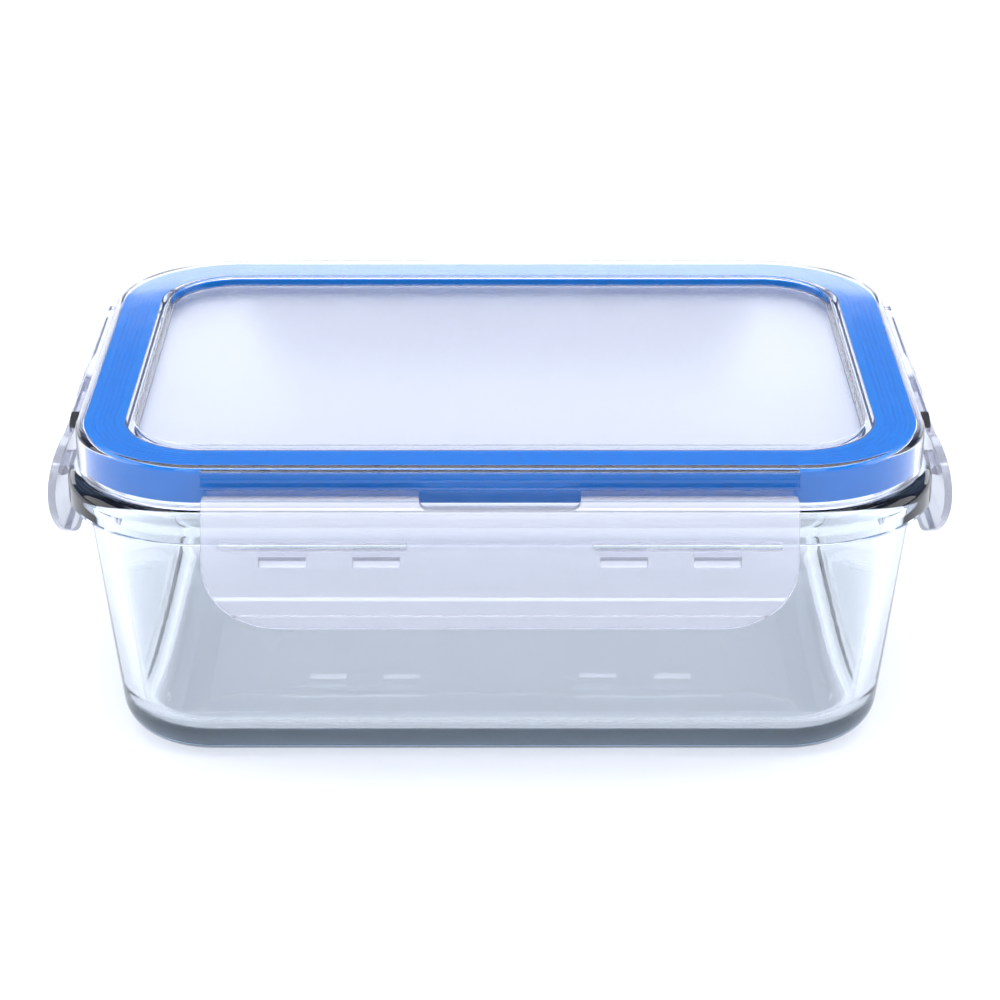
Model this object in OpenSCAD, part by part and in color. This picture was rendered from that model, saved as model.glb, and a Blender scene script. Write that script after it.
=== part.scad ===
// Rectangular glass food storage container with a four-flap snap lid.
// Origin at the centre of the base, +Z up, +X along the long sides, the front at -Y.
// Every rounded-rectangle part is one section swept round the same four corner
// centres. A section's first coordinate is the distance outwards from the lid's
// outline and its second is the height above the table.

/* [Outline] */
// Length of the lid's skirt, without the hinge ledges
lid_length = 182; // [150:1:240]
// Width of the lid's skirt, without the hinge ledges
lid_width = 132; // [110:1:180]
// Corner radius of the lid's skirt in plan
corner_r = 28.5; // [26:0.5:40]
// Height from the table to the top of the lid
total_height = 72.4; // [60:0.2:110]

/* [Glass] */
// Slope of the side walls from upright, in degrees
wall_draft = 6.6; // [4:0.1:8]
// Thickness of the glass under the contents
floor_thickness = 5; // [4:0.1:7]
// Thickness of the side walls, measured level
wall_thickness = 4.5; // [3.8:0.1:5]
// How far the snap flange stands out past the lid's skirt
flange_out = 2.2; // [1.8:0.1:2.4]
// Radius where the outside of the wall turns into the base
base_round = 8; // [6:0.5:10]
// Radius where the inside of the wall turns into the floor
floor_round = 7; // [5:0.5:9]
// Depth of the hollow under the base, inside its foot ring
foot_depth = 0.6; // [0.4:0.1:1]

/* [Lid] */
// Thickness of the lid over the gasket
lid_top_thickness = 1.2; // [1:0.1:1.4]
// Thickness of the lid's outer skirt
skirt_thickness = 1.6; // [1.4:0.1:1.7]
// Width of the raised border, from the skirt to the panel
border_width = 12.8; // [12.6:0.1:14]
// How far the panel lies below the border
panel_recess = 2.2; // [1.8:0.1:2.6]
// Thickness of the panel
panel_thickness = 1.6; // [1.4:0.1:2]

/* [Flaps] */
// Width of the front and back flaps
long_flap_width = 123.4; // [110:0.2:124]
// Width of the left and right flaps
short_flap_width = 67; // [60:0.5:72]
// Height of a flap from its hinge edge to its lower edge
flap_height = 28.5; // [27:0.5:31]
// Thickness of a flap
flap_thickness = 1.7; // [1.5:0.1:1.9]
// Corner radius at the lower edge of a flap
flap_corner_r = 15.5; // [10:0.5:16]
// Width of the notch at the middle of a long flap's hinge edge
long_notch_width = 33.4; // [26:0.2:36]
// Width of the notch at the middle of a short flap's hinge edge
short_notch_width = 18; // [14:0.5:22]
// Thickness of the living hinge
web_thickness = 0.45; // [0.4:0.05:0.5]

/* [Hidden] */
$fn = 96;

// Corner centres of every outline
cx = lid_length / 2 - corner_r;
cy = lid_width / 2 - corner_r;

// Levels of the glass, down from the top of the lid
rim_top = total_height - 4.7;
shoulder = total_height - 10.2;
flange_bottom = total_height - 17.2;
rim_out = -2.7;
rim_in = -6.2;
rim_round = 1.5;
flange_top_round = 1.9;
flange_bottom_round = 0.8;
under_flange = rim_in + wall_thickness;
outer_at_table = under_flange - flange_bottom * tan(wall_draft);
inner_at_table = rim_in - flange_bottom * tan(wall_draft);
base_centre = outer_at_table + base_round * tan(wall_draft) - base_round / cos(wall_draft);
floor_centre_z = floor_thickness + floor_round;
floor_centre = inner_at_table + floor_centre_z * tan(wall_draft) - floor_round / cos(wall_draft);
foot_width = 4.5;
foot_slope = 1.5;

// Levels of the lid and gasket
skirt_bottom = total_height - 9.3;
channel_bottom = total_height - 8.3;
channel_top = total_height - lid_top_thickness;
panel_top = total_height - panel_recess;
lid_round = 1.4;
border_round = 0.6;
border_slope = 0.4;
channel_in = -10.9;
gasket_gap = 0.05;
seal_gap = 0.3;
gasket_bottom = total_height - 8.5;
gasket_rib_height = 0.25;
gasket_rib_pitch = 1.1;
gasket_ribs = 6;

// Hinge ledges
ledge_top = total_height - 0.6;
ledge_bottom = total_height - 4.4;
ledge_out_top = 1.5;
ledge_out_bottom = 2.3;
ledge_root = -0.6;

// Living hinges, which turn about the middle of their webs
web_height = 1.4;
web_in = 1.9;
flap_top = ledge_bottom - web_height;

// Flap section: its outer face is an arc through three points
flap_bottom = flap_top - flap_height;
flap_top_out = 3.4;
flap_middle_out = 7.7;
flap_middle = flap_top - 12.6;
flap_bottom_out = 5.6;
flap_top_chamfer = 0.6;
flap_band_top = flap_top - 21;
flap_lip_top = flap_top - 25.2;
flap_band_thinning = 0.45;
flap_lip_extra = 0.5;
notch_depth = 1.9;
notch_round = 1.2;

// Moulding slots and the snap beads under them
slot_height = 1.4;
slot_drop = 8.6;
bead_top = flange_bottom - 0.3;
bead_height = 2.2;
bead_tip = 1;
bead_nose = 0.4;
bead_length = 9.8;
long_slot_length = 39.4;
long_slot_offset = 38.7;
long_bead_offset = 35.3;
long_bead_spread = 9.7;
short_slot_length = 16;
short_slot_offset = 19;

// Points along an arc about [x, z], from angle a0 to a1
function arc(x, z, r, a0, a1, steps = 6) =
    [for (i = [0 : steps]) let (a = a0 + (a1 - a0) * i / steps) [x + r * cos(a), z + r * sin(a)]];

// Centre of the circle through three points
function circle_centre(p, q, s) =
    let (
        d = 2 * (p.x * (q.y - s.y) + q.x * (s.y - p.y) + s.x * (p.y - q.y)),
        pp = p * p, qq = q * q, ss = s * s
    )
    [(pp * (q.y - s.y) + qq * (s.y - p.y) + ss * (p.y - q.y)) / d,
     (pp * (s.x - q.x) + qq * (p.x - s.x) + ss * (q.x - p.x)) / d];

flap_centre = circle_centre([flap_top_out, flap_top], [flap_middle_out, flap_middle],
                            [flap_bottom_out, flap_bottom]);
flap_radius = norm([flap_top_out, flap_top] - flap_centre);

// The flap's outer face, inset by t, at height z
function flap_face(z, t = 0) =
    flap_centre.x + sqrt(pow(flap_radius - t, 2) - pow(z - flap_centre.y, 2));

// Sweeps a section round the outline: four quarter turns and four straight runs
module sweep_outline(section) {
    at_axis = [for (p = section) [max(corner_r + p.x, 0), p.y]];
    for (sx = [-1, 1], sy = [-1, 1])
        translate([sx * cx, sy * cy, 0])
            rotate([0, 0, sx > 0 ? (sy > 0 ? 0 : 270) : (sy > 0 ? 90 : 180)])
                rotate_extrude(angle = 90) polygon(at_axis);
    for (turn = [0, 180]) {
        rotate([0, 0, turn]) translate([cx, cy, 0]) run(at_axis, 2 * cy);
        rotate([0, 0, turn + 90]) translate([cy, cx, 0]) run(at_axis, 2 * cx);
    }
}

// A straight run of a section, which points along +X and is swept towards -Y
module run(section, length) {
    rotate([90, 0, 0]) linear_extrude(length) polygon(section);
}

// The slab that closes a swept section between the corner centres
module middle_slab(z0, z1) {
    translate([-cx, -cy, z0]) cube([2 * cx, 2 * cy, z1 - z0]);
}

// A section set on one side: "side" is 0 right, 90 back, 180 left, 270 front
module on_side(side, length) {
    half = (side % 180 == 0) ? lid_length / 2 : lid_width / 2;
    rotate([0, 0, side]) translate([half, length / 2, 0]) children();
}

module glass_dish() {
    section = concat(
        [[-corner_r, foot_depth], [base_centre - foot_width - foot_slope, foot_depth],
         [base_centre - foot_width, 0]],
        arc(base_centre, base_round, base_round, -90, -wall_draft, 8),
        [[under_flange, flange_bottom]],
        arc(flange_out - flange_bottom_round, flange_bottom + flange_bottom_round,
            flange_bottom_round, -90, 0, 4),
        arc(flange_out - flange_top_round, shoulder - flange_top_round, flange_top_round, 0, 90),
        [[rim_out, shoulder]],
        arc(rim_out - rim_round, rim_top - rim_round, rim_round, 0, 90, 5),
        arc(rim_in + rim_round, rim_top - rim_round, rim_round, 90, 180, 5),
        [[rim_in, flange_bottom]],
        arc(floor_centre, floor_centre_z, floor_round, -wall_draft, -90, 8),
        [[-corner_r, floor_thickness]]
    );
    color([0.80, 0.88, 0.89, 0.45]) {
        sweep_outline(section);
        middle_slab(foot_depth, floor_thickness);
    }
}

module lid() {
    panel_edge = -border_width - border_slope;
    section = concat(
        [[-skirt_thickness, skirt_bottom], [0, skirt_bottom]],
        arc(-lid_round, total_height - lid_round, lid_round, 0, 90, 5),
        arc(border_round - border_width, total_height - border_round, border_round, 90, 170, 3),
        [[panel_edge, panel_top], [-corner_r, panel_top], [-corner_r, panel_top - panel_thickness],
         [-border_width, panel_top - panel_thickness], [-border_width, channel_bottom],
         [channel_in, channel_bottom], [channel_in, channel_top], [-skirt_thickness, channel_top]]
    );
    color([0.88, 0.90, 0.96, 0.6]) {
        sweep_outline(section);
        middle_slab(panel_top - panel_thickness, panel_top);
        for (side = [0, 180]) ledge(side, short_flap_width);
        for (side = [90, 270]) ledge(side, long_flap_width);
    }
}

// The ledge that a flap hangs from
module ledge(side, length) {
    on_side(side, length) run(
        [[ledge_root, ledge_bottom], [ledge_out_bottom, ledge_bottom],
         [ledge_out_top, ledge_top], [ledge_root, ledge_top]], length);
}

// The seal fills the lid's channel and straddles the glass rim
module gasket() {
    top = channel_top - gasket_gap;
    out = -skirt_thickness - gasket_gap;
    inside = channel_in + gasket_gap;
    middle = (out + inside) / 2;
    first = middle + gasket_rib_pitch * gasket_ribs / 2;
    low = top - gasket_rib_height;
    ribs = [for (i = [0 : gasket_ribs - 1], k = [0, 1])
        [first - gasket_rib_pitch * (i + k / 2), k == 0 ? low : top]];
    section = concat(
        [[out, gasket_bottom], [out, low]],
        ribs,
        [[inside, low], [inside, gasket_bottom],
         [rim_in - seal_gap, gasket_bottom], [rim_in - seal_gap, rim_top + seal_gap],
         [rim_out + seal_gap, rim_top + seal_gap], [rim_out + seal_gap, gasket_bottom]]
    );
    color([0.05, 0.32, 0.85]) sweep_outline(section);
}

// Cross-section of a flap, without its slots and rounded outline
function flap_section() =
    let (
        steps = 14,
        outer = [for (i = [0 : steps]) let (z = flap_bottom + (flap_top - flap_top_chamfer
            - flap_bottom) * i / steps) [flap_face(z), z]],
        top_in = flap_face(flap_top, flap_thickness),
        inner = [for (i = [0 : 8]) let (z = flap_top + (flap_band_top - flap_top) * i / 8)
            [flap_face(z, flap_thickness), z]],
        thin = flap_thickness - flap_band_thinning,
        thick = flap_thickness + flap_lip_extra
    )
    concat(
        outer,
        [[flap_top_out - flap_top_chamfer, flap_top], [top_in, flap_top]],
        [for (i = [1 : 8]) inner[i]],
        [[flap_face(flap_band_top, thin), flap_band_top],
         [flap_face(flap_lip_top, thin), flap_lip_top],
         [flap_face(flap_lip_top, thick), flap_lip_top],
         [flap_face(flap_bottom, thick), flap_bottom]]
    );

// Front view of a flap, centred on its width, with its height along Y
module flap_outline(width, notch_width) {
    half = width / 2;
    difference() {
        union() {
            translate([-half, flap_bottom + flap_corner_r])
                square([width, flap_height - flap_corner_r]);
            translate([-half + flap_corner_r, flap_bottom])
                square([width - 2 * flap_corner_r, flap_corner_r]);
            for (s = [-1, 1])
                translate([s * (half - flap_corner_r), flap_bottom + flap_corner_r])
                    circle(r = flap_corner_r);
        }
        translate([-notch_width / 2, flap_top - notch_depth + notch_round])
            square([notch_width, notch_depth]);
        translate([-notch_width / 2 + notch_round, flap_top - notch_depth])
            square([notch_width - 2 * notch_round, notch_depth]);
        for (s = [-1, 1])
            translate([s * (notch_width / 2 - notch_round), flap_top - notch_depth + notch_round])
                circle(r = notch_round);
    }
}

// The slot that lets the mould's core form a snap bead
module slot_outline(offset, length) {
    half = length / 2 - slot_height / 2;
    translate([offset - half, flap_top - slot_drop - slot_height]) square([2 * half, slot_height]);
    for (s = [-1, 1])
        translate([offset + s * half, flap_top - slot_drop - slot_height / 2])
            circle(d = slot_height);
}

// A flap hanging closed on one side
module flap(side, width, notch_width, slot_offset, slot_length) {
    reach = 20;
    on_side(side, width) intersection() {
        run(flap_section(), width);
        translate([0, -width / 2, 0]) rotate([90, 0, 90]) linear_extrude(reach)
            difference() {
                flap_outline(width, notch_width);
                for (s = [-1, 1]) slot_outline(s * slot_offset, slot_length);
            }
    }
}

module long_flap(side) {
    flap(side, long_flap_width, long_notch_width, long_slot_offset, long_slot_length);
}

module short_flap(side) {
    flap(side, short_flap_width, short_notch_width, short_slot_offset, short_slot_length);
}

// The two thin strips that join a flap to its ledge, one on each side of the notch
module hinge_webs(side, width, notch_width) {
    strip = (width - notch_width) / 2;
    for (start = [0, width - strip])
        on_side(side, width) translate([0, -start, 0]) run(
            [[web_in, flap_top], [web_in + web_thickness, flap_top],
             [web_in + web_thickness, ledge_bottom], [web_in, ledge_bottom]], strip);
}

// Wedge-shaped beads on a flap's inner face, which catch under the glass flange
module snap_beads(side, width, centres) {
    root = flap_face(bead_top - bead_height, flap_thickness / 2);
    foot = bead_top - bead_height;
    wedge = [
        [root, bead_top], [bead_tip + bead_nose, bead_top], [bead_tip, bead_top - bead_nose],
        [bead_tip, bead_top - 3 * bead_nose], [flap_face(foot, flap_thickness), foot], [root, foot]
    ];
    for (c = centres)
        on_side(side, width) translate([0, -width / 2 + c + bead_length / 2, 0])
            rotate([90, 0, 0]) linear_extrude(bead_length) difference() {
                polygon(wedge);
                polygon(flap_section());
            }
}

long_bead_centres = [for (s = [-1, 1], t = [-1, 1]) s * long_bead_offset + t * long_bead_spread];
short_bead_centres = [-short_slot_offset, short_slot_offset];

module front_flap() { color([0.86, 0.89, 0.95, 0.7]) long_flap(270); }
module back_flap() { color([0.86, 0.89, 0.95, 0.7]) long_flap(90); }
module left_flap() { color([0.86, 0.89, 0.95, 0.7]) short_flap(180); }
module right_flap() { color([0.86, 0.89, 0.95, 0.7]) short_flap(0); }
module front_hinge() { color([0.78, 0.82, 0.94]) hinge_webs(270, long_flap_width, long_notch_width); }
module back_hinge() { color([0.78, 0.82, 0.94]) hinge_webs(90, long_flap_width, long_notch_width); }
module left_hinge() { color([0.78, 0.82, 0.94]) hinge_webs(180, short_flap_width, short_notch_width); }
module right_hinge() { color([0.78, 0.82, 0.94]) hinge_webs(0, short_flap_width, short_notch_width); }
module front_snap_beads() { color([0.80, 0.84, 0.93]) snap_beads(270, long_flap_width, long_bead_centres); }
module back_snap_beads() { color([0.80, 0.84, 0.93]) snap_beads(90, long_flap_width, long_bead_centres); }
module left_snap_beads() { color([0.80, 0.84, 0.93]) snap_beads(180, short_flap_width, short_bead_centres); }
module right_snap_beads() { color([0.80, 0.84, 0.93]) snap_beads(0, short_flap_width, short_bead_centres); }

glass_dish();
lid();
gasket();
front_flap();
back_flap();
left_flap();
right_flap();
front_hinge();
back_hinge();
left_hinge();
right_hinge();
front_snap_beads();
back_snap_beads();
left_snap_beads();
right_snap_beads();
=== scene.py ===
"""Rectangular glass food container with a four-flap snap lid, closed and empty.

Outlines are in millimetres. A section's first number is the distance outwards from the lid's
skirt, and its second is the height above the floor. Blender objects are in metres.
"""

import math

import bmesh
import bpy
from mathutils import Matrix, Vector


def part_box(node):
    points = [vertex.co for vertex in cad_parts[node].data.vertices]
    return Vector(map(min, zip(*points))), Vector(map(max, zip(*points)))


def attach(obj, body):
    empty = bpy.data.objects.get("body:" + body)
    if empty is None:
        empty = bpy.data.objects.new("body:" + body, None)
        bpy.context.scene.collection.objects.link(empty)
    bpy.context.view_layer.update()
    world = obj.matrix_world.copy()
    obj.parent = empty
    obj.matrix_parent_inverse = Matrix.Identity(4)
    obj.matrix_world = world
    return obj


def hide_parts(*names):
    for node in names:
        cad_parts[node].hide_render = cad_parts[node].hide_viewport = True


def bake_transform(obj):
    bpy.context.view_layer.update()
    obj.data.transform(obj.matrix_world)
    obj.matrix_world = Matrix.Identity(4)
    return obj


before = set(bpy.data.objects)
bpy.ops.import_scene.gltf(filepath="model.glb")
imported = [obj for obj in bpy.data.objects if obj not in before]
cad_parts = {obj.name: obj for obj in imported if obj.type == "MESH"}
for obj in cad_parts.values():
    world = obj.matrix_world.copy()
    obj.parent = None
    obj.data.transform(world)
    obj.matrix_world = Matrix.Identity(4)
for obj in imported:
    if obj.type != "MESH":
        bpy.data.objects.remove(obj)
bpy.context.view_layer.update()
bpy.ops.object.select_all(action="DESELECT")

# ---------------------------------------------------------------- dimensions, in millimetres
MM = 0.001
SMOOTH_ANGLE = math.radians(32)

FLANGE_OUT = 2.2
dish_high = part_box("glass_dish")[1] / MM
lid_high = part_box("lid")[1] / MM
HALF_X = dish_high.x - FLANGE_OUT
HALF_Y = dish_high.y - FLANGE_OUT
TOP = lid_high.z
RIM_TOP = dish_high.z

CORNER_R = 28.5
CORNER_X = HALF_X - CORNER_R
CORNER_Y = HALF_Y - CORNER_R
CORNER_STEPS = 24
INNER_RING = -27.5

WALL = 4.5
DRAFT = math.radians(6.6)
FLOOR = 5.0
FOOT_DEPTH = 0.6
FOOT_WIDTH = 4.5
FOOT_SLOPE = 6.0
BASE_ROUND = 8.0
RIM_OUT, RIM_IN = -2.7, -6.2
SHOULDER = TOP - 10.2
FLANGE_BOTTOM = TOP - 17.2

SKIRT = 1.6
SKIRT_BOTTOM = TOP - 9.85
CHANNEL_TOP = TOP - 1.2
CHANNEL_BOTTOM = TOP - 8.3
CHANNEL_IN = -10.9
BORDER = -12.8
PANEL_EDGE = -13.2
PANEL_TOP = TOP - 2.2
PANEL_BOTTOM = PANEL_TOP - 1.6

LEDGE_TOP = TOP - 0.6
LEDGE_BOTTOM = TOP - 4.4
LEDGE_OUT_TOP, LEDGE_OUT_BOTTOM = 1.5, 2.3
LEDGE_ROOT = -0.8

SEAL_GAP = 0.3
SEAL_PLAY = 0.05
SEAL_BOTTOM = TOP - 8.5
RIBS = 6
RIB_PITCH = 1.1
RIB_HEIGHT = 0.25

flap_low, flap_high = (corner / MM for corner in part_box("front_flap"))
FLAP_TOP, FLAP_BOTTOM = flap_high.z, flap_low.z
FLAP_WALL = 1.7
FLAP_ROUND = 15.5
FLAP_TOP_ROUND = 0.9
FLAP_TOP_EDGE = 1.05
FLAP_EDGE = 0.3
FLAP_BANDS = 20
# Three places that a flap's bowed face passes: how far out, and how far under its top
BOW_TOP, BOW_MIDDLE, BOW_BOTTOM = (3.4, 0), (7.7, 12.6), (5.6, FLAP_TOP - FLAP_BOTTOM)
LIP_TOP = FLAP_TOP - 25.2
BAND_TOP = FLAP_TOP - 21.0
BAND_STEP = 0.3
NOTCH_DEPTH = 1.9
NOTCH_ROUND = 1.7
SLOT_TOP = FLAP_TOP - 8.6
SLOT_HEIGHT = 1.4
SLOT_ROUND = 0.68
BEAD_TOP = FLANGE_BOTTOM - 0.3
BEAD_HEIGHT = 2.2
BEAD_TIP = 1.0
BEAD_LENGTH = 9.8
BEAD_LEAN = 0.94
WEB_IN, WEB_WALL = 1.9, 0.45
WEB_END, WEB_LAP = 1.2, 0.12
WEB_BENDS = 8

TABLE_GLOW = 0.52

# Side: turn from the front in degrees, notch width, slot offset, slot length, bead places along
# one half
FLAPS = {
    "front": (0, 33.4, 38.7, 39.4, (25.6, 45.0)),
    "right": (90, 18.0, 19.0, 16.0, (19.0,)),
    "back": (180, 33.4, 38.7, 39.4, (25.6, 45.0)),
    "left": (-90, 18.0, 19.0, 16.0, (19.0,)),
}


# ---------------------------------------------------------------- outlines
def rounded(corners, steps=6):
    """The points of an outline whose corners, given as (out, up, radius), are rounded."""
    points = []
    for i, (out, up, radius) in enumerate(corners):
        here = Vector((out, up))
        if radius == 0:
            points.append(here)
            continue
        back = (Vector(corners[i - 1][:2]) - here).normalized()
        ahead = (Vector(corners[(i + 1) % len(corners)][:2]) - here).normalized()
        half = back.angle(ahead) / 2
        centre = here + (back + ahead).normalized() * radius / math.sin(half)
        spoke = here + back * radius / math.tan(half) - centre
        turn = math.pi - 2 * half
        if back.x * ahead.y - back.y * ahead.x > 0:
            turn = -turn
        points += [centre + Matrix.Rotation(turn * k / steps, 2) @ spoke for k in range(steps + 1)]
    return points


def circle_through(p, q, s):
    """The centre and radius of the circle through three points."""
    d = 2 * (p.x * (q.y - s.y) + q.x * (s.y - p.y) + s.x * (p.y - q.y))
    pp, qq, ss = p.dot(p), q.dot(q), s.dot(s)
    centre = Vector((
        (pp * (q.y - s.y) + qq * (s.y - p.y) + ss * (p.y - q.y)) / d,
        (pp * (s.x - q.x) + qq * (p.x - s.x) + ss * (q.x - p.x)) / d,
    ))
    return centre, (p - centre).length


flap_centre, flap_radius = circle_through(
    *(Vector((out, FLAP_TOP - drop)) for out, drop in (BOW_TOP, BOW_MIDDLE, BOW_BOTTOM))
)


def flap_face(up, depth=0.0):
    """How far out a flap's bowed face is at a height, at a depth under its outer surface."""
    return flap_centre.x + math.sqrt((flap_radius - depth) ** 2 - (up - flap_centre.y) ** 2)


# ---------------------------------------------------------------- modelling steps
def edit():
    bpy.ops.object.mode_set(mode="EDIT")
    bpy.ops.mesh.select_mode(type="VERT")


def leave():
    bpy.ops.object.mode_set(mode="OBJECT")


def select_where(test):
    """Selects the vertices whose place passes a test, with the edges and faces between them."""
    bpy.ops.mesh.select_all(action="DESELECT")
    mesh = bmesh.from_edit_mesh(bpy.context.object.data)
    for vertex in mesh.verts:
        vertex.select = test(vertex.co)
    mesh.select_flush_mode()
    bmesh.update_edit_mesh(bpy.context.object.data)


def near(a, b):
    return abs(a - b) < MM / 100


def apply_modifier(piece, kind, **settings):
    modifier = piece.modifiers.new(kind.lower(), kind)
    for name, value in settings.items():
        setattr(modifier, name, value)
    bpy.context.view_layer.objects.active = piece
    bpy.ops.object.modifier_apply(modifier=modifier.name)


def draw_outline(name, points, closed):
    """Draws points in the plane of X and Z, at the corner's centre, by extruding one vertex."""
    spots = [Vector(((HALF_X + p[0]) * MM, CORNER_Y * MM, p[1] * MM)) for p in points]
    bpy.ops.mesh.primitive_plane_add(size=MM, location=spots[0])
    bpy.ops.object.transform_apply(location=True)
    piece = bpy.context.object
    piece.name = piece.data.name = name
    edit()
    bpy.ops.mesh.merge(type="CENTER")
    for here, ahead in zip(spots, spots[1:]):
        bpy.ops.mesh.extrude_region_move(TRANSFORM_OT_translate={"value": ahead - here})
    if closed:
        select_where(lambda co: (co - spots[0]).length < MM / 100 or (co - spots[-1]).length < MM / 100)
        bpy.ops.mesh.edge_face_add()
    bpy.ops.mesh.select_all(action="SELECT")
    return piece


def sweep_round(name, section, closed):
    """Sweeps a section round the container: a corner is spun, run out to the middles, and mirrored."""
    piece = draw_outline(name, section, closed)
    centre = Vector((CORNER_X * MM, CORNER_Y * MM, 0))
    bpy.ops.mesh.spin(steps=CORNER_STEPS, angle=-math.pi / 2, center=centre, axis=(0, 0, 1))
    select_where(lambda co: near(co.x, centre.x))
    bpy.ops.mesh.extrude_region_move(TRANSFORM_OT_translate={"value": (-centre.x, 0, 0)})
    select_where(lambda co: near(co.y, centre.y) and co.x > centre.x)
    bpy.ops.mesh.extrude_region_move(TRANSFORM_OT_translate={"value": (0, -centre.y, 0)})
    leave()
    apply_modifier(piece, "MIRROR", use_axis=(True, True, False), merge_threshold=MM / 100)
    edit()
    bpy.ops.mesh.select_all(action="SELECT")
    bpy.ops.mesh.remove_doubles(threshold=MM / 1000)
    bpy.ops.mesh.fill_holes(sides=0)
    bpy.ops.mesh.select_all(action="SELECT")
    bpy.ops.mesh.normals_make_consistent(inside=False)
    leave()
    return piece


def block(name, points, length):
    """A closed outline extruded across the front, centred on the middle, facing -Y."""
    piece = draw_outline(name, points, True)
    bpy.ops.mesh.edge_face_add()
    bpy.ops.mesh.extrude_region_move(TRANSFORM_OT_translate={"value": (0, length * MM, 0)})
    bpy.ops.mesh.select_all(action="SELECT")
    bpy.ops.mesh.normals_make_consistent(inside=False)
    leave()
    piece.data.transform(Matrix.Translation(Vector((-HALF_X, -CORNER_Y - length / 2, 0)) * MM))
    piece.data.transform(Matrix.Rotation(-math.pi / 2, 4, "Z"))
    return piece


def combine(piece, tool, operation):
    apply_modifier(piece, "BOOLEAN", object=tool, operation=operation, solver="EXACT")
    bpy.data.objects.remove(tool)


def smooth(piece):
    bpy.ops.object.select_all(action="DESELECT")
    piece.select_set(True)
    bpy.context.view_layer.objects.active = piece
    bpy.ops.object.shade_smooth_by_angle(angle=SMOOTH_ANGLE)
    # Wide flat faces keep their own direction beside a small rounding
    apply_modifier(piece, "WEIGHTED_NORMAL", keep_sharp=True)
    piece.select_set(False)


def paint(piece, *materials):
    """Gives a piece its materials, which its faces already name by number."""
    numbers = [face.material_index for face in piece.data.polygons]
    piece.data.materials.clear()
    for material in materials:
        piece.data.materials.append(material)
    piece.data.polygons.foreach_set("material_index", numbers)


# ---------------------------------------------------------------- materials
def colour(code):
    """An sRGB hex colour as linear RGBA."""
    parts = [int(code[i:i + 2], 16) / 255 for i in (1, 3, 5)]
    return tuple(c / 12.92 if c <= 0.04045 else ((c + 0.055) / 1.055) ** 2.4 for c in parts) + (1.0,)


def add_node(tree, kind, inputs=None, **settings):
    """Adds a node, sets its own settings, and links or sets its inputs."""
    made = tree.nodes.new(kind)
    for name, value in settings.items():
        setattr(made, name, value)
    for name, value in (inputs or {}).items():
        if isinstance(value, bpy.types.NodeSocket):
            tree.links.new(value, made.inputs[name])
        else:
            made.inputs[name].default_value = value
    return made


def new_material(name):
    material = bpy.data.materials.new(name)
    material.use_nodes = True
    material.node_tree.nodes.clear()
    tree = material.node_tree
    place = add_node(tree, "ShaderNodeTexCoord").outputs["Object"]
    return material, tree, place


def pressed_glass():
    """Pressed borosilicate: clear, faintly blue-green through its depth, with a soft wave from the
    mould, and stippled where it stands."""
    material, tree, place = new_material("pressed_borosilicate_glass")
    wave = add_node(tree, "ShaderNodeTexNoise", {"Vector": place, "Scale": 1 / (16 * MM), "Detail": 1.0})
    bump = add_node(tree, "ShaderNodeBump", {
        "Height": wave.outputs["Fac"], "Strength": 0.1, "Distance": 0.3 * MM,
    })
    haze = add_node(tree, "ShaderNodeMapRange", {
        "Value": wave.outputs["Fac"], "To Min": 0.0, "To Max": 0.02,
    })
    height = add_node(tree, "ShaderNodeSeparateXYZ", {"Vector": place}).outputs["Z"]
    stipple = add_node(tree, "ShaderNodeMapRange", {
        "Value": height, "From Min": FOOT_DEPTH * 1.1 * MM, "From Max": FOOT_DEPTH * 2 * MM,
        "To Min": 0.35, "To Max": 0.0,
    })
    rough = add_node(tree, "ShaderNodeMath", {
        0: haze.outputs["Result"], 1: stipple.outputs["Result"],
    }, operation="ADD")
    shader = add_node(tree, "ShaderNodeBsdfPrincipled", {
        "Base Color": colour("#FDFEFF"), "Roughness": rough.outputs["Value"], "IOR": 1.473,
        "Transmission Weight": 1.0, "Normal": bump.outputs["Normal"],
    })
    depth = add_node(tree, "ShaderNodeVolumeAbsorption", {"Color": colour("#9DBACC"), "Density": 26.0})
    add_node(tree, "ShaderNodeOutputMaterial", {
        "Surface": shader.outputs["BSDF"], "Volume": depth.outputs["Volume"],
    })
    return material


def clear_polypropylene():
    """Natural polypropylene from a polished mould: glossy, slightly milky and lavender-white."""
    material, tree, place = new_material("natural_polypropylene_polished")
    flow = add_node(tree, "ShaderNodeTexNoise", {"Vector": place, "Scale": 1 / (9 * MM), "Detail": 3.0})
    haze = add_node(tree, "ShaderNodeMapRange", {
        "Value": flow.outputs["Fac"], "To Min": 0.02, "To Max": 0.06,
    })
    bump = add_node(tree, "ShaderNodeBump", {
        "Height": flow.outputs["Fac"], "Strength": 0.02, "Distance": 0.1 * MM,
    })
    shader = add_node(tree, "ShaderNodeBsdfPrincipled", {
        "Base Color": colour("#F4F5FF"), "Roughness": haze.outputs["Result"], "IOR": 1.49,
        "Specular IOR Level": 0.18, "Transmission Weight": 1.0, "Normal": bump.outputs["Normal"],
    })
    add_node(tree, "ShaderNodeOutputMaterial", {"Surface": shader.outputs["BSDF"]})
    return material


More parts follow.
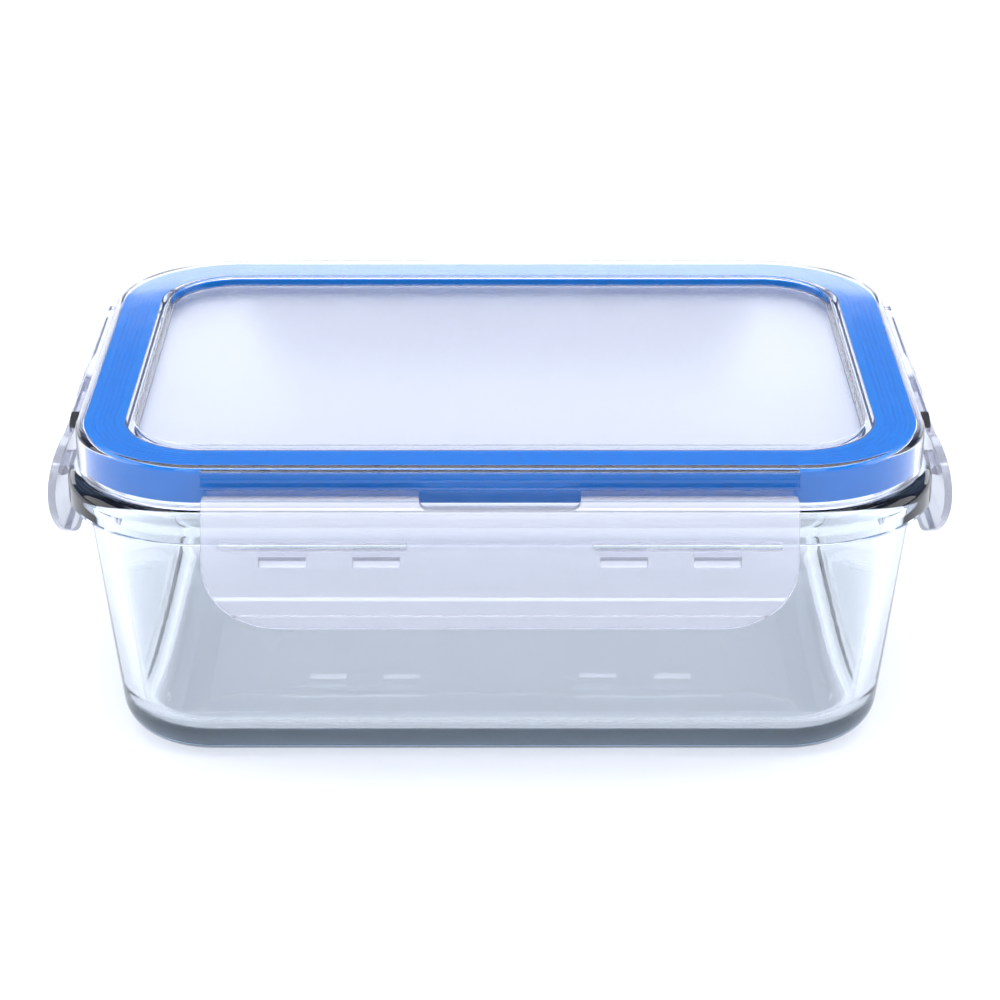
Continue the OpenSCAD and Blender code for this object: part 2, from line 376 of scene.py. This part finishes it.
def frosted_polypropylene():
    """The same plastic from a spark-eroded mould face: an even fine grain, which scatters what is
    under it."""
    material, tree, place = new_material("natural_polypropylene_spark_eroded")
    # The real grain is about 0.1 mm; it is drawn at 0.5 mm so that it shows
    grain = add_node(tree, "ShaderNodeTexNoise", {"Vector": place, "Scale": 1 / (0.5 * MM), "Detail": 2.0})
    cloud = add_node(tree, "ShaderNodeTexNoise", {"Vector": place, "Scale": 1 / (40 * MM), "Detail": 2.0})
    haze = add_node(tree, "ShaderNodeMapRange", {
        "Value": cloud.outputs["Fac"], "To Min": 0.2, "To Max": 0.26,
    })
    bump = add_node(tree, "ShaderNodeBump", {
        "Height": grain.outputs["Fac"], "Strength": 0.25, "Distance": 0.05 * MM,
    })
    shader = add_node(tree, "ShaderNodeBsdfPrincipled", {
        "Base Color": colour("#EAECF5"), "Roughness": haze.outputs["Result"], "IOR": 1.49,
        "Specular IOR Level": 0.2, "Transmission Weight": 0.95, "Normal": bump.outputs["Normal"],
    })
    add_node(tree, "ShaderNodeOutputMaterial", {"Surface": shader.outputs["BSDF"]})
    return material


def flap_polypropylene():
    """Natural polypropylene in the thicker flaps: milkier than the lid's border, with a satin face."""
    material, tree, place = new_material("natural_polypropylene_satin")
    flow = add_node(tree, "ShaderNodeTexNoise", {"Vector": place, "Scale": 1 / (12 * MM), "Detail": 3.0})
    haze = add_node(tree, "ShaderNodeMapRange", {
        "Value": flow.outputs["Fac"], "To Min": 0.14, "To Max": 0.24,
    })
    bump = add_node(tree, "ShaderNodeBump", {
        "Height": flow.outputs["Fac"], "Strength": 0.02, "Distance": 0.1 * MM,
    })
    shader = add_node(tree, "ShaderNodeBsdfPrincipled", {
        "Base Color": colour("#F2F3FA"), "Roughness": haze.outputs["Result"], "IOR": 1.49,
        "Transmission Weight": 0.76, "Normal": bump.outputs["Normal"],
    })
    add_node(tree, "ShaderNodeOutputMaterial", {"Surface": shader.outputs["BSDF"]})
    return material


def blue_silicone():
    """Blue silicone rubber: matt, with a dusty grain in its tone, roughness and surface."""
    material, tree, place = new_material("blue_silicone_rubber")
    dust = add_node(tree, "ShaderNodeTexNoise", {"Vector": place, "Scale": 1 / (3 * MM), "Detail": 4.0})
    tint = add_node(tree, "ShaderNodeMix", {
        "Factor": dust.outputs["Fac"], "A": colour("#0086DE"), "B": colour("#0090E8"),
    }, data_type="RGBA")
    rough = add_node(tree, "ShaderNodeMapRange", {
        "Value": dust.outputs["Fac"], "To Min": 0.5, "To Max": 0.65,
    })
    bump = add_node(tree, "ShaderNodeBump", {
        "Height": dust.outputs["Fac"], "Strength": 0.1, "Distance": 0.1 * MM,
    })
    shader = add_node(tree, "ShaderNodeBsdfPrincipled", {
        "Base Color": tint.outputs["Result"], "Roughness": rough.outputs["Result"], "IOR": 1.41,
        "Specular IOR Level": 0.0, "Normal": bump.outputs["Normal"],
    })
    add_node(tree, "ShaderNodeOutputMaterial", {"Surface": shader.outputs["BSDF"]})
    return material


def opal_acrylic():
    """Opal acrylic light table: matt white, lit evenly from beneath, so that shadows on it are faint."""
    material, tree, place = new_material("opal_acrylic_light_table")
    cloud = add_node(tree, "ShaderNodeTexNoise", {"Vector": place, "Scale": 1 / (4 * MM), "Detail": 2.0})
    tint = add_node(tree, "ShaderNodeMix", {
        "Factor": cloud.outputs["Fac"], "A": colour("#BABBBC"), "B": colour("#BEBFC0"),
    }, data_type="RGBA")
    shader = add_node(tree, "ShaderNodeBsdfPrincipled", {
        "Base Color": tint.outputs["Result"], "Roughness": 0.9, "Specular IOR Level": 0.1,
        "Emission Color": colour("#F4F8FF"), "Emission Strength": TABLE_GLOW,
    })
    add_node(tree, "ShaderNodeOutputMaterial", {"Surface": shader.outputs["BSDF"]})
    return material


# ---------------------------------------------------------------- pieces
def make_dish():
    """The pressed glass dish: a tapered wall, a floor on a foot ring, a snap flange and a rim."""
    under_flange = RIM_IN + WALL
    outer_at_table = under_flange - FLANGE_BOTTOM * math.tan(DRAFT)
    inner_at_floor = RIM_IN - (FLANGE_BOTTOM - FLOOR) * math.tan(DRAFT)
    base_centre = outer_at_table + BASE_ROUND * (math.tan(DRAFT) - 1 / math.cos(DRAFT))
    foot = base_centre - FOOT_WIDTH
    section = rounded([
        (INNER_RING, FOOT_DEPTH, 0), (foot - FOOT_SLOPE, FOOT_DEPTH, 2.0), (foot, 0, 2.0),
        (outer_at_table, 0, BASE_ROUND), (under_flange, FLANGE_BOTTOM, 0.9),
        (FLANGE_OUT, FLANGE_BOTTOM, 0.8), (FLANGE_OUT, SHOULDER, 2.6), (RIM_OUT, SHOULDER, 0.8),
        (RIM_OUT, RIM_TOP, 1.5), (RIM_IN, RIM_TOP, 1.5), (RIM_IN, FLANGE_BOTTOM, 6.0),
        (inner_at_floor, FLOOR, 7.0), (INNER_RING, FLOOR, 0),
    ], 8)
    return sweep_round("pressed_glass_dish", section, False)


def make_ledge(turn, width):
    """The ledge that a flap hangs from, with softened ends."""
    ledge = block("ledge", rounded([
        (LEDGE_ROOT, LEDGE_BOTTOM, 0), (LEDGE_OUT_BOTTOM, LEDGE_BOTTOM, 0.45),
        (LEDGE_OUT_TOP, LEDGE_TOP, 0.5), (LEDGE_ROOT, LEDGE_TOP, 0),
    ], 4), width)
    half = HALF_Y if turn % 180 == 0 else HALF_X
    ledge.data.transform(Matrix.Translation((0, -half * MM, 0)))
    ledge.data.transform(Matrix.Rotation(math.radians(turn), 4, "Z"))
    return ledge


def make_lid():
    """The lid moulding: skirt, seal channel, raised border and sunk panel, with four ledges."""
    section = rounded([
        (INNER_RING, PANEL_BOTTOM, 0), (BORDER, PANEL_BOTTOM, 0.5), (BORDER, CHANNEL_BOTTOM, 0.4),
        (CHANNEL_IN, CHANNEL_BOTTOM, 0.4), (CHANNEL_IN, CHANNEL_TOP, 0.3), (-SKIRT, CHANNEL_TOP, 0.3),
        (-SKIRT, SKIRT_BOTTOM, 0.4), (0, SKIRT_BOTTOM, 0.4), (0, TOP, 1.4), (BORDER, TOP, 0.6),
        (PANEL_EDGE, PANEL_TOP, 0.5), (INNER_RING, PANEL_TOP, 0),
    ])
    lid = sweep_round("lid_moulding", section, False)
    for side, (turn, *_) in FLAPS.items():
        combine(lid, make_ledge(turn, flap_width(side)), "UNION")
    return lid


def make_seal():
    """The silicone seal, which fills the channel and straddles the glass rim, with ribs along its top."""
    top = CHANNEL_TOP - SEAL_PLAY
    low = top - RIB_HEIGHT
    out, inside = -SKIRT - SEAL_PLAY, CHANNEL_IN + SEAL_PLAY
    first = (out + inside) / 2 + RIB_PITCH * RIBS / 2
    ribs = [
        (first - RIB_PITCH * (i + side), level, 0.12)
        for i in range(RIBS) for side, level in ((0, low), (0.25, top), (0.75, top))
    ]
    section = rounded([
        (out, SEAL_BOTTOM, 0.3), (out, low, 0.4), *ribs, (inside, low, 0.4), (inside, SEAL_BOTTOM, 0.3),
        (RIM_IN - SEAL_GAP, SEAL_BOTTOM, 0.3), (RIM_IN - SEAL_GAP, RIM_TOP + SEAL_GAP, 0.4),
        (RIM_OUT + SEAL_GAP, RIM_TOP + SEAL_GAP, 0.4), (RIM_OUT + SEAL_GAP, SEAL_BOTTOM, 0.2),
    ], 3)
    return sweep_round("silicone_seal", section, True)


def flap_width(side):
    low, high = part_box(f"{side}_flap")
    return max((high - low).xy) / MM


def make_box(width, deep, low, high, middle, corner, keep):
    """A box across a flap's wall, whose corners seen from the front are rounded where keep says."""
    bpy.ops.mesh.primitive_cube_add(size=1, location=(middle * MM, 0, (low + high) / 2 * MM))
    tool = bpy.context.object
    tool.scale = (width * MM, deep * MM, (high - low) * MM)
    bpy.ops.object.transform_apply(location=True, scale=True)
    edit()
    bpy.ops.mesh.select_mode(type="EDGE")
    bpy.ops.mesh.select_all(action="DESELECT")
    mesh = bmesh.from_edit_mesh(tool.data)
    for edge in mesh.edges:
        a, b = (v.co for v in edge.verts)
        edge.select = near(a.x, b.x) and near(a.z, b.z) and keep(a)
    bmesh.update_edit_mesh(tool.data)
    bpy.ops.mesh.bevel(offset=corner * MM, segments=8)
    leave()
    return tool


def make_flap(side):
    """A snap flap: a flat plate with its notch, slots and beads, bowed outwards when it is complete."""
    turn, notch, slot_offset, slot_length, beads = FLAPS[side]
    width = flap_width(side)
    bpy.ops.mesh.primitive_plane_add(
        size=1, location=(0, 0, (FLAP_TOP + FLAP_BOTTOM) / 2 * MM), rotation=(math.pi / 2, 0, 0)
    )
    flap = bpy.context.object
    flap.name = flap.data.name = f"{side}_flap_moulding"
    flap.scale = (width * MM, (FLAP_TOP - FLAP_BOTTOM) * MM, 1)
    bpy.ops.object.transform_apply(location=True, rotation=True, scale=True)
    edit()
    for level, radius, steps in ((FLAP_BOTTOM, FLAP_ROUND, 16), (FLAP_TOP, FLAP_TOP_ROUND, 5)):
        select_where(lambda co: near(co.z, level * MM))
        bpy.ops.mesh.bevel(offset=radius * MM, segments=steps, affect="VERTICES")
    bpy.ops.mesh.select_all(action="SELECT")
    bpy.ops.mesh.extrude_region_move(TRANSFORM_OT_translate={"value": (0, FLAP_WALL * MM, 0)})
    select_where(lambda co: near(co.z, FLAP_TOP * MM) and near(co.y, 0))
    bpy.ops.mesh.bevel(offset=FLAP_TOP_EDGE * MM, segments=4, affect="EDGES")
    bpy.ops.mesh.select_all(action="SELECT")
    bpy.ops.mesh.normals_make_consistent(inside=False)
    leave()

    reach = (flap_face(BEAD_TOP) - BEAD_TIP) * BEAD_LEAN
    bead_root = -FLAP_WALL * 0.6
    for place in beads:
        for s in (-1, 1):
            bead = block("bead", [
                (bead_root, BEAD_TOP), (bead_root, BEAD_TOP - BEAD_HEIGHT - 0.3),
                (-FLAP_WALL, BEAD_TOP - BEAD_HEIGHT), (-reach, BEAD_TOP - 1.2),
                (-reach, BEAD_TOP - 0.4), (0.4 - reach, BEAD_TOP),
            ], BEAD_LENGTH)
            bead.data.transform(Matrix.Translation((s * place * MM, 0, 0)))
            combine(flap, bead, "UNION")
    across = 4 * FLAP_WALL
    floor_of_notch = FLAP_TOP - NOTCH_DEPTH
    combine(flap, make_box(
        notch, across, floor_of_notch, FLAP_TOP + 3, 0, NOTCH_ROUND, lambda co: co.z < FLAP_TOP * MM
    ), "DIFFERENCE")
    for s in (-1, 1):
        combine(flap, make_box(
            slot_length, across, SLOT_TOP - SLOT_HEIGHT, SLOT_TOP, s * slot_offset, SLOT_ROUND,
            lambda co: True
        ), "DIFFERENCE")
    apply_modifier(
        flap, "BEVEL", width=FLAP_EDGE * MM, segments=3, limit_method="ANGLE", angle_limit=math.radians(50)
    )
    edit()
    rise = (FLAP_TOP - FLAP_BOTTOM) / FLAP_BANDS
    levels = [FLAP_BOTTOM + rise * i for i in range(1, FLAP_BANDS)]
    levels += [step + s * BAND_STEP for step in (LIP_TOP, BAND_TOP) for s in (-1, 1)]
    for level in levels:
        bpy.ops.mesh.select_all(action="SELECT")
        bpy.ops.mesh.bisect(plane_co=(0, 0, level * MM), plane_no=(0, 0, 1))
    leave()
    for face in flap.data.polygons:
        face.material_index = int(face.center.y > (FLAP_WALL + 0.02) * MM)
    half = HALF_Y if turn % 180 == 0 else HALF_X
    for vertex in flap.data.vertices:
        up, depth = vertex.co.z / MM, vertex.co.y / MM
        depth *= wall_share(up)
        vertex.co.y = -(half + flap_face(up, depth)) * MM
    flap.data.transform(Matrix.Rotation(math.radians(turn), 4, "Z"))
    return flap


def wall_share(up):
    """A flap's thickness at a height, as a share of its common thickness: a thin band over a thick lip."""
    thin, thick = 1 - 0.45 / FLAP_WALL, 1 + 0.5 / FLAP_WALL
    if up < LIP_TOP:
        return thick
    if up < BAND_TOP:
        return thin
    return 1.0


def make_hinge(side):
    """The thin webs that a flap turns on, one on each side of its notch, joined as one piece."""
    turn, notch = FLAPS[side][:2]
    width = flap_width(side)
    strip = (width - notch) / 2 - WEB_END
    low, high = FLAP_TOP - WEB_LAP, LEDGE_BOTTOM + WEB_LAP
    half = HALF_Y if turn % 180 == 0 else HALF_X
    hinge = None
    for s in (-1, 1):
        web = block(f"{side}_living_hinge", [
            (WEB_IN, low), (WEB_IN + WEB_WALL, low), (WEB_IN + WEB_WALL, high), (WEB_IN, high)
        ], strip)
        edit()
        for i in range(1, WEB_BENDS):
            bpy.ops.mesh.select_all(action="SELECT")
            level = low + (high - low) * i / WEB_BENDS
            bpy.ops.mesh.bisect(plane_co=(0, 0, level * MM), plane_no=(0, 0, 1))
        leave()
        web.data.transform(Matrix.Translation((s * (notch + strip) / 2 * MM, -half * MM, 0)))
        web.data.transform(Matrix.Rotation(math.radians(turn), 4, "Z"))
        if hinge is None:
            hinge = web
        else:
            web.select_set(True)
            hinge.select_set(True)
            bpy.context.view_layer.objects.active = hinge
            bpy.ops.object.join()
    return hinge


# ---------------------------------------------------------------- assembly
GLASS, CLEAR, FROSTED, SATIN, SILICONE = (
    pressed_glass(), clear_polypropylene(), frosted_polypropylene(), flap_polypropylene(), blue_silicone()
)


def finish_piece(piece, body, slot, nodes, *materials):
    smooth(piece)
    paint(piece, *materials)
    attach(piece, body)
    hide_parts(*nodes)


dish = make_dish()
finish_piece(dish, "dish", "glass", ["glass_dish"], GLASS)

lid = make_lid()
finish_piece(lid, "lid_assembly", "lid_plastic", ["lid"], CLEAR, FROSTED)
for face in lid.data.polygons:
    heights = {round(lid.data.vertices[v].co.z / MM, 2) for v in face.vertices}
    inside = abs(face.center.x) < (HALF_X + BORDER) * MM and abs(face.center.y) < (HALF_Y + BORDER) * MM
    if inside and heights in ({round(PANEL_TOP, 2)}, {round(PANEL_BOTTOM, 2)}):
        face.material_index = 1

seal = make_seal()
finish_piece(seal, "lid_assembly", "silicone", ["gasket"], SILICONE)

for side in FLAPS:
    latch = f"{side}_latch"
    flap = make_flap(side)
    finish_piece(flap, latch, "lid_plastic", [f"{side}_flap", f"{side}_snap_beads"], SATIN, CLEAR)
    hinge = make_hinge(side)
    smooth(hinge)
    paint(hinge, CLEAR)
    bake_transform(hinge)
    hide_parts(f"{side}_hinge")


# ---------------------------------------------------------------- studio
def make_floor():
    bpy.ops.mesh.primitive_plane_add(size=9, location=(0, 0, -0.02 * MM))
    floor = bpy.context.object
    floor.name = "studio_floor"
    paint(floor, opal_acrylic())


def area_light(name, place, aim, width, height, brightness):
    """A rectangular soft light of a given brightness, where 1 is as bright as white paper shows."""
    lamp = bpy.data.lights.new(name, "AREA")
    lamp.shape = "RECTANGLE"
    lamp.size, lamp.size_y = width, height
    lamp.energy = brightness * math.pi * width * height
    holder = bpy.data.objects.new(name, lamp)
    bpy.context.scene.collection.objects.link(holder)
    holder.location = place
    holder.rotation_euler = (Vector(aim) - Vector(place)).to_track_quat("-Z", "Y").to_euler()


def make_studio():
    """Softboxes overhead, in front and at both sides, and a lit backdrop, in a pale room."""
    area_light("overhead_softbox", (0, 0.1, 1.5), (0, 0, 0), 1.8, 1.8, 3.9)
    area_light("front_softbox", (0, -2.0, 1.1), (0, 0, 0), 2.0, 1.2, 2.0)
    area_light("backdrop", (0, 2.2, 0.415), (0, 0, 0.415), 5.0, 0.84, 2.2)
    for side in (-1, 1):
        area_light(f"side_softbox_{side + 2}", (side * 2.0, -0.1, 0.95), (0, 0, 0), 2.0, 1.4, 2.5)
    world = bpy.data.worlds.new("studio_room")
    world.use_nodes = True
    world.node_tree.nodes["Background"].inputs["Color"].default_value = colour("#A0B2E0")
    world.node_tree.nodes["Background"].inputs["Strength"].default_value = 0.6
    bpy.context.scene.world = world


def make_camera():
    camera = bpy.data.objects.new("camera", bpy.data.cameras.new("camera"))
    bpy.context.scene.collection.objects.link(camera)
    camera.data.lens = 108
    camera.data.sensor_width = 36
    camera.location = (0, -0.635, 0.3125)
    camera.rotation_euler = (math.radians(66.5), 0, 0)
    bpy.context.scene.camera = camera


make_floor()
make_studio()
make_camera()
bpy.context.scene.view_settings.view_transform = "Standard"
